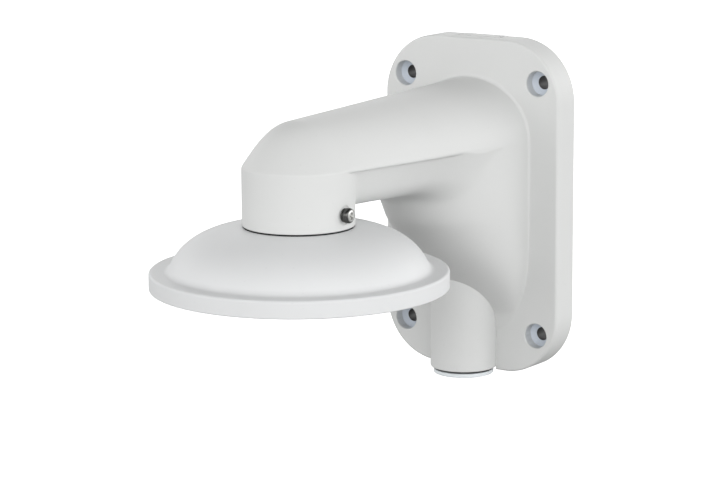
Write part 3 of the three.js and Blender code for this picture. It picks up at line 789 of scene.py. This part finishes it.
class Tree:
    """A node tree that is filled from Python."""

    def __init__(self, owner):
        owner.use_nodes = True
        self.nodes, self.links = owner.node_tree.nodes, owner.node_tree.links
        self.nodes.clear()

    def add(self, kind, settings=None, sockets=None, output=0):
        """A node: its settings first, then the values or links of its sockets."""
        node = self.nodes.new(kind)
        for key, value in (settings or {}).items():
            if key == "stops":
                for stop, (place, tint) in zip([*node.color_ramp.elements, *(
                        node.color_ramp.elements.new(0.5) for _ in value[2:])], value):
                    stop.position, stop.color = place, tint
            else:
                setattr(node, key, value)
        for key, value in (sockets or {}).items():
            if isinstance(value, Wire):
                self.links.new(value.socket, node.inputs[key])
            else:
                node.inputs[key].default_value = value
        return Wire(self, node.outputs[output]) if node.outputs else None

    def position(self):
        return self.add("ShaderNodeTexCoord", output="Object")

    def split(self, vector):
        parts = self.add("ShaderNodeSeparateXYZ", sockets={0: vector})
        return [Wire(self, socket) for socket in parts.socket.node.outputs]

    def noise(self, vector, size, detail=2.0, roughness=0.5):
        """Noise from 0 to 1 whose grain is about this size in metres."""
        return self.add("ShaderNodeTexNoise", {}, {
            "Vector": vector, "Scale": 1 / size, "Detail": detail, "Roughness": roughness})

    def blend(self, factor, first, second):
        """A colour between the first and the second."""
        return self.add("ShaderNodeMix", {"data_type": "RGBA"}, {0: factor, 6: first, 7: second}, 2)

    def bump(self, height, distance, strength=1.0):
        return self.add("ShaderNodeBump", {}, {
            "Height": height, "Distance": distance, "Strength": strength})

    def surface(self, **sockets):
        """The Principled surface and the output. Socket names have underscores for spaces."""
        shader = self.add("ShaderNodeBsdfPrincipled", {},
                          {key.replace("_", " "): value for key, value in sockets.items()})
        self.add("ShaderNodeOutputMaterial", {}, {"Surface": shader})


def tint(rgb, scale=1.0):
    return (*(channel * scale for channel in rgb), 1.0)


def grey(level):
    return tint((level, level, level))


def new_material(name):
    material = bpy.data.materials.new(name)
    return material, Tree(material)


def paint_counterbore_light_and_shade(tree, place, base, rgb, sizes, seat_light_rgb):
    """The thin coat down in the counterbores and the dark of the holes, as a colour and a mask."""
    x, y, z = tree.split(place)
    across, up = abs(x) - sizes.hole_x, abs(z) - sizes.hole_z
    from_hole = (across * across + up * up) ** 0.5
    in_hole = 1 - from_hole.step(sizes.counterbore - 0.05 * MM, sizes.counterbore + 0.02 * MM)
    front, seat_y = -sizes.thickness, sizes.counterbore_depth - sizes.thickness
    # Painted shade: the counterbore walls get the seat colour at 0.72.
    counterbore_shade_mask = in_hole * y.step(front + 0.2 * MM, front + 1.2 * MM)
    base = tree.blend(counterbore_shade_mask, base, tint(seat_light_rgb, 0.72))
    # Painted cool light: the seats get the cool seat colour.
    seat = in_hole * y.step(seat_y - 0.1 * MM, seat_y + 0.1 * MM)
    base = tree.blend(seat, base, tint(seat_light_rgb))
    # Painted shadow: the wall holes go almost black.
    hole_shadow = 1 - from_hole.step(sizes.hole + 0.02 * MM, sizes.hole + 0.12 * MM)
    return tree.blend(hole_shadow, base, tint(rgb, 0.03)), counterbore_shade_mask


def powder_coat(name, rgb, peel_depth, counterbore_lighting=None):
    """Powder coat on cast metal: orange peel, faint cloudiness and a few specks.

    Seats are the casting's sizes and its seats' colour.
    """
    material, tree = new_material(name)
    place = tree.position()
    cloud = tree.noise(place, 38 * MM, 3.0)
    peel = tree.noise(place, 1.3 * MM, 1.0)
    grain = tree.noise(place, 0.35 * MM, 2.0)
    speck = tree.noise(place, 0.9 * MM, 0.0).step(0.80, 0.86)
    base = tree.blend(cloud.step(0.3, 0.7), tint(rgb, 0.975), tint(rgb, 1.0))
    base = tree.blend(speck * 0.12, base, tint(rgb, 0.62))
    rough = 0.40 + 0.10 * cloud + 0.08 * grain
    if counterbore_lighting:
        # Painted shade on the counterbore walls, painted cool light on the seats and painted shadow in
        # the holes.
        base, counterbore_shade_mask = paint_counterbore_light_and_shade(tree, place, base, rgb, *counterbore_lighting)
        rough = rough - 0.06 * counterbore_shade_mask
    height = peel * 0.7 + grain * 0.3
    tree.surface(Base_Color=base, Roughness=rough, Normal=tree.bump(height, peel_depth),
                 Specular_IOR_Level=0.45)
    return material


def moulded_plastic(name, rgb):
    """Moulded thermoplastic with a fine spark-eroded texture."""
    material, tree = new_material(name)
    place = tree.position()
    cloud = tree.noise(place, 9 * MM, 2.0)
    texture = tree.noise(place, 0.22 * MM, 3.0, 0.6)
    base = tree.blend(cloud, tint(rgb, 0.97), tint(rgb, 1.0))
    rough = 0.34 + 0.12 * texture
    tree.surface(Base_Color=base, Roughness=rough, Normal=tree.bump(texture, 0.012 * MM), IOR=1.49)
    return material


def rubber(name, rgb):
    """Moulded rubber with a fine grain and faint dust."""
    material, tree = new_material(name)
    place = tree.position()
    grain = tree.noise(place, 0.3 * MM, 3.0, 0.6)
    dust = tree.noise(place, 3 * MM, 3.0).step(0.5, 0.8)
    base = tree.blend(dust * 0.35, tint(rgb), tint((0.09, 0.088, 0.085)))
    rough = 0.62 + 0.18 * grain + 0.1 * dust
    tree.surface(Base_Color=base, Roughness=rough, Normal=tree.bump(grain, 0.02 * MM), IOR=1.52)
    return material


def steel(name, rgb, axis_point):
    """Bright stainless steel with turning marks round an axis along X."""
    material, tree = new_material(name)
    place = tree.position()
    _, y, z = tree.split(place)
    from_axis = ((y - axis_point.y) ** 2 + (z - axis_point.z) ** 2) ** 0.5
    rings = tree.add("ShaderNodeCombineXYZ", {}, {0: from_axis, 1: 0.0, 2: 0.0})
    marks = tree.noise(rings, 0.05 * MM, 2.0)
    smear = tree.noise(place, 0.7 * MM, 2.0)
    base = tree.blend(smear, tint(rgb, 0.9), tint(rgb, 1.05))
    # Painted dark reflection: beyond 2.3 mm from the axis the colour falls to 0.16, on the head's outer
    # crown and flank and on the washer's outer part.
    crown_end, flank_start = 1.75 * MM, 2.3 * MM
    base = tree.blend(from_axis.step(crown_end, flank_start), base, tint(rgb, 0.16))
    rough = 0.13 + 0.1 * smear + 0.06 * marks
    tree.surface(Base_Color=base, Roughness=rough, Metallic=1.0,
                 Normal=tree.bump(marks, 0.003 * MM))
    return material


def floor_finish():
    material, tree = new_material("floor_paper")
    shade = tree.noise(tree.position(), 400 * MM, 2.0)
    base = tree.blend(shade, grey(0.90), grey(0.92))
    tree.surface(Base_Color=base, Roughness=0.9, Emission_Color=grey(1.0), Emission_Strength=0.75)
    return material


# ---- operators -----------------------------------------------------------------------------------
def scene_values():
    scene = bpy.context.scene
    return scene.bracket_casting, scene.bracket_cap, scene.bracket_fittings, scene.bracket_finishes


def finished(name, make):
    """The material of that name, made the first time that it is asked for."""
    return bpy.data.materials.get(name) or make(name)


def casting_coat():
    sizes, _, _, finishes = scene_values()
    return finished("casting_coat", lambda name: powder_coat(
        name, finishes.casting, finishes.peel_depth, (sizes, finishes.seat)))


def black_rubber():
    finishes = scene_values()[3]
    return finished("seal_rubber", lambda name: rubber(name, finishes.rubber))


def stainless():
    finishes = scene_values()[3]
    return finished("turned_steel", lambda name: steel(name, finishes.steel, SCREW_AXIS))


class BRACKET_OT_casting(bpy.types.Operator):
    """Make the bracket's casting: plate, arm, throat, conduit pipe and collar"""
    bl_idname = "bracket.casting"
    bl_label = "Casting"

    def execute(self, context):
        sizes, caps, fittings, _ = scene_values()
        body = casting(sizes, caps, fittings)
        finish(body, casting_coat(), "bracket", "casting_powder_coat", "bracket_body")
        return {"FINISHED"}


class BRACKET_OT_wall_gasket(bpy.types.Operator):
    """Make the gasket in the groove round the back of the plate"""
    bl_idname = "bracket.wall_gasket"
    bl_label = "Wall gasket"

    def execute(self, context):
        sizes, _, fittings, _ = scene_values()
        band = groove("wall_gasket_band", sizes, SEAT_GAP, SEAT_GAP - sizes.gasket_depth)
        with editing(band):
            select(band, "EDGE", lambda e: not e.is_boundary and e.is_manifold
                   and e.calc_face_angle(0) > math.radians(60))
            bpy.ops.mesh.bevel(offset=fittings.rubber_edge, segments=3, profile=0.5,
                               clamp_overlap=False)
            close_up(band)
        finish(band, black_rubber(), "bracket", "black_rubber", "wall_gasket")
        return {"FINISHED"}


class BRACKET_OT_entry_blank(bpy.types.Operator):
    """Make the push-in blank in the plate's top edge"""
    bl_idname = "bracket.entry_blank"
    bl_label = "Cable entry blank"

    def execute(self, context):
        sizes, _, fittings, _ = scene_values()
        piece = block("cable_entry_blank", blank_low, blank_high)
        with editing(piece):
            select(piece, "EDGE", lambda e: max(v.co.y for v in e.verts) < blank_high.y - TIGHT
                   or min(v.co.z for v in e.verts) > blank_high.z - TIGHT)
            bpy.ops.mesh.bevel(offset=fittings.blank_edge, segments=4, profile=0.5)
            close_up(piece)
        middle, half = blank_low.y + fittings.slot_behind, fittings.slot_length / 2
        bottom = PLATE_HALF_HEIGHT - fittings.slot_length
        for side in (-1, 1):
            end = side * blank_high.x
            low, high = sorted((end + side * OVERLAP, end - side * fittings.slot_width))
            cut(piece, block("slot", (low, middle - half, bottom),
                             (high, middle + half, PLATE_HALF_HEIGHT + OVERLAP)))
        cut(piece, groove("groove", sizes, 0, -sizes.gasket_depth))
        finish(piece, casting_coat(), "bracket", "casting_powder_coat", "top_entry_blank")
        return {"FINISHED"}


class BRACKET_OT_blanking_plug(bpy.types.Operator):
    """Make the conduit's blanking plug with its hexagon and thread"""
    bl_idname = "bracket.blanking_plug"
    bl_label = "Blanking plug"

    def execute(self, context):
        sizes, _, fittings, finishes = scene_values()
        bottom, top, radius = plug_low.z, plug_high.z, plug_high.x
        flange_top = bottom + fittings.plug_flange
        edge, upper_edge = fittings.plug_edge, fittings.plug_edge / 2
        thread_depth, lead_in = 0.7 * MM, 0.6 * MM
        stem = sizes.pipe_thread - RUN_GAP
        root = stem - thread_depth
        plug = turned("blanking_plug", [
            (0, bottom), *arc((radius - edge, bottom + edge), edge, -1, 0),
            *arc((radius - upper_edge, flange_top - upper_edge), upper_edge, 0, 1, 3),
            (root, flange_top), (root, top - lead_in), (root - lead_in, top), (0, top)], PIPE_AXIS)
        ridge = thread("ridge", stem, thread_depth, fittings.pipe_pitch, flange_top + 0.5 * MM,
                       top - 0.4 * MM, Matrix.Translation(PIPE_AXIS))
        corner, soft = fittings.hex_across / math.sqrt(3), 0.4 * MM
        hexagon = stack((corner + soft, bottom - OVERLAP, bottom),
                        (corner, bottom + soft, bottom + fittings.hex_depth), tip=1 * MM)
        join(plug, ridge)
        cut(plug, turned("hexagon", hexagon, PIPE_AXIS, steps=6))
        plastic = finished("moulded_plug", lambda name: moulded_plastic(name, finishes.plug))
        finish(plug, plastic, "plug", "plug_plastic", "conduit_plug")
        return {"FINISHED"}


class BRACKET_OT_rubber_rings(bpy.types.Operator):
    """Make the turned rubber rings: neck seal, plug seal and camera gasket"""
    bl_idname = "bracket.rubber_rings"
    bl_label = "Rubber rings"

    def execute(self, context):
        _, caps, fittings, _ = scene_values()
        edge = fittings.rubber_edge
        plug_seal_inner, gasket_band = 10.7 * MM, 1.3 * MM
        rings = [
            ("neck_seal_ring", "neck_seal", "cap_seal", CAP_AXIS, caps.land + RUN_GAP,
             (neck_seal_high.x - neck_seal_low.x) / 2, neck_seal_low.z, neck_seal_high.z, edge),
            ("plug_seal_ring", "conduit_plug_seal", "plug_seal", PIPE_AXIS, plug_seal_inner,
             (plug_seal_high.x - plug_seal_low.x) / 2, plug_seal_low.z, plug_seal_high.z, edge / 2),
            ("camera_gasket_ring", "camera_gasket", "cap", CAP_AXIS, camera_gasket_high.x - gasket_band,
             camera_gasket_high.x, camera_gasket_low.z, camera_gasket_high.z, edge),
        ]
        for name, node, body, centre, inner, outer, bottom, top, rounding in rings:
            profile = rounded_ring(inner, outer, bottom, top, rounding)
            piece = turned(name, profile, centre, steps=128)
            finish(piece, black_rubber(), body, "black_rubber", node, angle=math.radians(50))
        return {"FINISHED"}


class BRACKET_OT_pendant_cap(bpy.types.Operator):
    """Make the pendant cap with its threaded neck and camera bosses"""
    bl_idname = "bracket.pendant_cap"
    bl_label = "Pendant cap"

    def execute(self, context):
        _, caps, _, finishes = scene_values()
        body = self.shell(caps)
        coat = finished("cap_coat",
                        lambda name: powder_coat(name, finishes.cap, finishes.peel_depth))
        finish(body, coat, "cap", "cap_powder_coat", "pendant_cap")
        return {"FINISHED"}

    @staticmethod
    def dome(caps, wall, steps):
        """The dome's line from beside the collar down to its foot, moved in by the wall."""
        start = (COLLAR_RADIUS - wall, COLLAR_BOTTOM - 2 * SEAT_GAP - wall)
        bulge = (35 * MM - 0.8 * wall, 8.6 * MM - wall)
        drop = (43.8 * MM - wall, 2.8 * MM - 0.6 * wall)
        end = (caps.dome_foot - wall, caps.dome_rise - caps.rim_top - 0.2 * wall)
        return [cubic(start, bulge, drop, end, step / steps) for step in range(steps + 1)]

    def shell(self, caps):
        bottom, top = cap_low.z, cap_high.z
        rim_top, edge, rim_edge = -caps.rim_top, caps.edge, 0.5 * MM
        foot, foot_z = caps.dome_foot, caps.dome_rise - caps.rim_top
        fillet = [cubic((foot, foot_z), (foot + 0.6 * MM, foot_z - 1.1 * MM), (foot + 1.2 * MM, rim_top),
                        (foot + caps.fillet, rim_top), step / 8) for step in range(8, 0, -1)]
        shoulder, seat = COLLAR_BOTTOM - 2 * SEAT_GAP, neck_seal_low.z - SEAT_GAP
        lip = COLLAR_RADIUS - SEAT_GAP
        land_top = COLLAR_BOTTOM + caps.land_height
        thread_depth, lead_in = 0.55 * caps.pitch, 0.6 * MM
        root = caps.thread - thread_depth
        shell = turned("pendant_cap_shell", [
            (0, bottom), *arc((CAP_RADIUS - rim_edge, bottom + rim_edge), rim_edge, -1, 0),
            *arc((CAP_RADIUS - edge, rim_top - edge), edge, 0, 1, 7),
            *fillet, *self.dome(caps, 0, 26)[::-1],
            (lip, shoulder), (lip, seat), (caps.land, seat), (caps.land, land_top), (root, land_top),
            (root, top - lead_in), (root - lead_in, top), (0, top)], steps=144)
        join(shell, thread("ridge", caps.thread, thread_depth, caps.pitch, land_top + 0.3 * MM,
                           top - 0.4 * MM, Matrix.Translation(CAP_AXIS)))

        inside, ceiling = CAP_RADIUS - caps.rim_width, rim_top - caps.wall + 1.2 * MM
        hollow = turned("hollow", [
            (0, bottom - OVERLAP), (inside, bottom - OVERLAP), (inside, ceiling),
            *self.dome(caps, caps.wall, 20)[::-1], (0, shoulder - caps.wall)], steps=128)
        start, boss_top, soft = bottom + 1 * MM, rim_top + 4 * MM, 0.4 * MM
        boss = rod(caps.boss, start, boss_top)
        hole = stack((caps.boss_hole + soft, start - OVERLAP, start),
                     (caps.boss_hole, start + soft, start + caps.boss_hole_depth), tip=1 * MM)
        turns = [math.tau * index / 3 - math.pi / 2 for index in range(3)]
        centres = [CAP_AXIS + caps.boss_circle * Vector((math.cos(turn), math.sin(turn), 0))
                   for turn in turns]
        cut(hollow, *(turned("boss", boss, centre, steps=40) for centre in centres))
        cut(shell, hollow, *(turned("hole", hole, centre, steps=24) for centre in centres))
        band, half, depth = camera_gasket_high.x - 0.65 * MM, 0.9 * MM, 1.2 * MM
        channel = turned("channel", ring(band - half, band + half, bottom - OVERLAP, bottom + depth),
                         steps=128)
        return cut(shell, channel, turned("bore", rod(caps.bore, bottom, top + OVERLAP)))


class BRACKET_OT_lock_screw(bpy.types.Operator):
    """Make the lock screw with its pan head, cross recess and thread"""
    bl_idname = "bracket.lock_screw"
    bl_label = "Lock screw"
    CROWN = ((1, 0.5), (0.93, 0.72), (0.78, 0.87), (0.5, 0.97), (0, 1))  # shares of radius and height

    def execute(self, context):
        fittings = scene_values()[2]
        tip, end = screw_low.x, screw_high.x
        radius = (screw_high.z - screw_low.z) / 2
        head = end - fittings.head
        thread_depth, tip_edge, rim_edge = 0.6 * fittings.screw_pitch, 0.2 * MM, 0.15 * MM
        root = fittings.screw_thread - thread_depth
        crown = [(share * radius, head + fittings.head * rise) for share, rise in self.CROWN]
        screw = turned("lock_screw_pan_head", [
            (0, tip), (root - tip_edge, tip), (root, tip + tip_edge), (root, head),
            (radius - rim_edge, head), (radius, head + rim_edge), *crown], SCREW_AXIS, X_AXIS, steps=64)
        place = Matrix.Translation(SCREW_AXIS)
        along_x = place @ Matrix.Rotation(math.pi / 2, 4, "Y")
        join(screw, thread("ridge", fittings.screw_thread, thread_depth, fittings.screw_pitch,
                           tip + 0.1 * MM, head - 0.1 * MM, along_x))
        for turn in (0, math.pi / 2):
            cut(screw, moved(self.recess_arm(fittings, end), place @ Matrix.Rotation(turn, 4, "X")))
        finish(screw, stainless(), "screw", "stainless_steel", "lock_screw")
        return {"FINISHED"}

    @staticmethod
    def recess_arm(fittings, end):
        """One arm of the cross recess, lying on the X axis and narrower at its floor."""
        reach, width = 1.65 * MM, fittings.recess_width / 2
        floor = end - fittings.recess
        arm = block("recess", (floor, -width, -reach), (end + 0.5 * MM, width, reach))
        with editing(arm):
            select(arm, "FACE", lambda f: f.normal.x < -0.5)
            bpy.ops.transform.resize(value=(1, 0.6, 0.35), center_override=(floor, 0, 0))
        return arm


class BRACKET_OT_lock_washer(bpy.types.Operator):
    """Make the split spring washer under the lock screw's head"""
    bl_idname = "bracket.lock_washer"
    bl_label = "Lock washer"

    def execute(self, context):
        fittings = scene_values()[2]
        low, high = washer_low.x, washer_high.x
        outer = (washer_high.z - washer_low.z) / 2
        inner = fittings.screw_thread + RUN_GAP
        profile = rounded_ring(inner, outer, low, high, 0.08 * MM)
        washer = turned("spring_washer", profile, SCREW_AXIS, X_AXIS, steps=64)
        half_split, split_turn = 0.15 * MM, math.radians(60)
        split = block("split", (low - OVERLAP, -half_split, 0), (high + OVERLAP, half_split, 2 * outer))
        place = Matrix.Translation(SCREW_AXIS) @ Matrix.Rotation(split_turn, 4, "X")
        cut(washer, moved(split, place))
        finish(washer, stainless(), "screw_washer", "stainless_steel", "lock_washer")
        return {"FINISHED"}


# Heights, from 0 straight down to 1 straight up, and the sky's brightness there.
SKY_LEVELS = ((0.0, 0.01), (0.50, 0.02), (0.545, 0.40), (0.60, 1.0), (0.67, 0.85), (0.76, 0.38),
              (0.88, 0.10), (1.0, 0.02))


class BRACKET_OT_stage(bpy.types.Operator):
    """Set the floor, the soft lights and the camera"""
    bl_idname = "bracket.stage"
    bl_label = "Stage"

    def execute(self, context):
        stage = context.scene.bracket_stage
        self.floor(stage)
        self.sky(stage)
        middle = Vector((0, AXIS_Y / 2, 0))
        self.light("key", stage.key, 0.9, middle + Vector((1.1, -0.9, 0.5)), middle)
        self.light("fill", stage.fill, 1.2, middle + Vector((-0.9, -1.3, 0.3)), middle)
        self.camera(stage)
        return {"FINISHED"}

    @staticmethod
    def floor(stage):
        floor = primitive("floor", bpy.ops.mesh.primitive_plane_add, size=stage.floor_size,
                          location=(0, 0, -stage.floor_drop))
        floor.data.materials.append(floor_finish())
        floor.visible_diffuse = floor.visible_glossy = False

    @staticmethod
    def sky(stage):
        """Soft light from all round, strongest near the horizon and weak from below."""
        world = bpy.data.worlds.new("studio")
        bpy.context.scene.world = world
        tree = Tree(world)
        x, y, z = tree.split(tree.add("ShaderNodeTexCoord", output="Generated"))
        level = tree.add("ShaderNodeValToRGB", {
            "stops": [(height, grey(share)) for height, share in SKY_LEVELS]}, {0: z * 0.5 + 0.5})
        from_front = 0.86 + 0.17 * x - 0.03 * y
        studio = tree.add("ShaderNodeBackground", {}, {
            "Color": level, "Strength": stage.sky * from_front})
        paper = tree.add("ShaderNodeBackground", {}, {"Color": grey(1.0), "Strength": 1.0})
        seen = tree.add("ShaderNodeLightPath", output="Is Camera Ray")
        tree.add("ShaderNodeOutputWorld", {}, {
            "Surface": tree.add("ShaderNodeMixShader", {}, {0: seen, 1: studio, 2: paper})})

    @staticmethod
    def light(name, power, size, place, target):
        data = bpy.data.lights.new(name, "AREA")
        data.energy, data.size = power, size
        lamp = bpy.data.objects.new(name, data)
        bpy.context.collection.objects.link(lamp)
        lamp.location = place
        lamp.rotation_euler = (target - place).to_track_quat("-Z", "Y").to_euler()

    @staticmethod
    def camera(stage):
        """The camera looks at a point beside the middle of the arm."""
        azimuth, elevation = stage.azimuth, stage.elevation
        back = Vector((math.sin(azimuth) * math.cos(elevation),
                       -math.cos(azimuth) * math.cos(elevation), math.sin(elevation)))
        right = Z_AXIS.cross(back).normalized()
        up = back.cross(right)
        middle = Vector((0, -50 * MM, 0))
        target = middle + right * stage.aim_right + up * stage.aim_up
        place = target + back * stage.distance
        rolled_right = right * math.cos(stage.roll) + up * math.sin(stage.roll)
        rolled_up = up * math.cos(stage.roll) - right * math.sin(stage.roll)
        data = bpy.data.cameras.new("camera")
        data.sensor_width, data.lens = 36, stage.lens
        data.clip_start, data.clip_end = 0.01, 200
        camera = bpy.data.objects.new("camera", data)
        bpy.context.collection.objects.link(camera)
        camera.matrix_world = Matrix((
            (rolled_right.x, rolled_up.x, back.x, place.x),
            (rolled_right.y, rolled_up.y, back.y, place.y),
            (rolled_right.z, rolled_up.z, back.z, place.z), (0, 0, 0, 1)))
        bpy.context.scene.camera = camera
        bpy.context.scene.view_settings.view_transform = "Standard"


# ---- panel and registration ----------------------------------------------------------------------
OPERATORS = (
    BRACKET_OT_stage, BRACKET_OT_casting, BRACKET_OT_wall_gasket, BRACKET_OT_entry_blank,
    BRACKET_OT_blanking_plug, BRACKET_OT_rubber_rings, BRACKET_OT_pendant_cap, BRACKET_OT_lock_screw,
    BRACKET_OT_lock_washer,
)
GROUPS = {
    "bracket_casting": CastingSizes, "bracket_cap": CapSizes, "bracket_fittings": FittingSizes,
    "bracket_finishes": Finishes, "bracket_stage": StageSettings,
}


class BRACKET_PT_panel(bpy.types.Panel):
    """Lists the bracket's pieces and their sizes"""
    bl_idname = "BRACKET_PT_panel"
    bl_label = "Dome camera bracket"
    bl_space_type = "VIEW_3D"
    bl_region_type = "UI"
    bl_category = "Bracket"

    def draw(self, context):
        for operator in OPERATORS:
            self.layout.operator(operator.bl_idname)
        for name, group in GROUPS.items():
            column = self.layout.column(heading=group.__doc__)
            for key in group.__annotations__:
                column.prop(getattr(context.scene, name), key)


def register():
    for group in (*GROUPS.values(), *OPERATORS, BRACKET_PT_panel):
        bpy.utils.register_class(group)
    for name, group in GROUPS.items():
        setattr(bpy.types.Scene, name, PointerProperty(type=group))


def unregister():
    for name in GROUPS:
        delattr(bpy.types.Scene, name)
    for group in reversed((*GROUPS.values(), *OPERATORS, BRACKET_PT_panel)):
        bpy.utils.unregister_class(group)


def main():
    register()
    bpy.ops.bracket.stage()
    bpy.ops.bracket.casting()
    bpy.ops.bracket.wall_gasket()
    bpy.ops.bracket.entry_blank()
    bpy.ops.bracket.blanking_plug()
    bpy.ops.bracket.rubber_rings()
    bpy.ops.bracket.pendant_cap()
    bpy.ops.bracket.lock_screw()
    bpy.ops.bracket.lock_washer()


if __name__ == "__main__":
    main()
